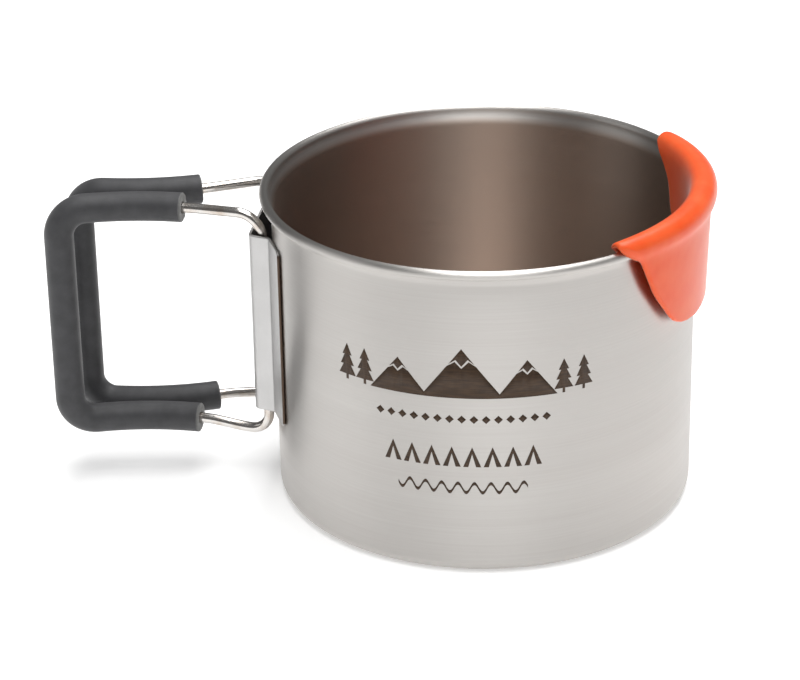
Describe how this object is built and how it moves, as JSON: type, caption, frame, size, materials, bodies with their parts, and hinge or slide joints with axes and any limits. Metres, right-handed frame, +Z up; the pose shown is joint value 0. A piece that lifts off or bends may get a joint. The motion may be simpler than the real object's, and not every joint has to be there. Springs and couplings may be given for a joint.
{
  "type": "camping cup",
  "caption": "Straight-sided stainless camping cup with a rolled rim, two sleeved wire handles that fold flat against the wall, and a silicone lip guard on the rim.",
  "frame": {"origin": "centre of the base, on the plane that the cup stands on", "axes": "+Z up along the cup's axis; the handle bracket is centred on -X; handle a is on the -Y side"},
  "size_m": [0.1341, 0.0894, 0.0681],
  "materials": {
    "brushed_cup": "brushed stainless steel, fine lines round the wall",
    "bracket_steel": "dull rolled stainless sheet",
    "wire_steel": "bright drawn stainless wire",
    "grip_rubber": "matte dark grey silicone tubing",
    "guard_silicone": "satin orange silicone"
  },
  "bodies": {
    "cup": {"cup_body": "brushed_cup", "handle_bracket": "bracket_steel"},
    "handle_a": {"handle_wire_a": "wire_steel", "grip_sleeve_a": "grip_rubber"},
    "handle_b": {"handle_wire_b": "wire_steel", "grip_sleeve_b": "grip_rubber"},
    "guard": {"lip_guard": "guard_silicone"}
  },
  "joints": [
    {"name": "handle_a_fold", "type": "hinge", "parent": "cup", "child": "handle_a", "pos_m": [-0.04335, -0.0097, 0.0371], "axis": [0, 0, 1], "range_deg": [-0.5, 114]},
    {"name": "handle_b_fold", "type": "hinge", "parent": "cup", "child": "handle_b", "pos_m": [-0.04335, 0.0097, 0.0371], "axis": [0, 0, -1], "range_deg": [-0.5, 133.5]},
    {"name": "guard_slides_round_rim", "type": "hinge", "parent": "cup", "child": "guard", "pos_m": [0, 0, 0.0645], "axis": [0, 0, 1], "range_deg": [-50, 50]}
  ]
}
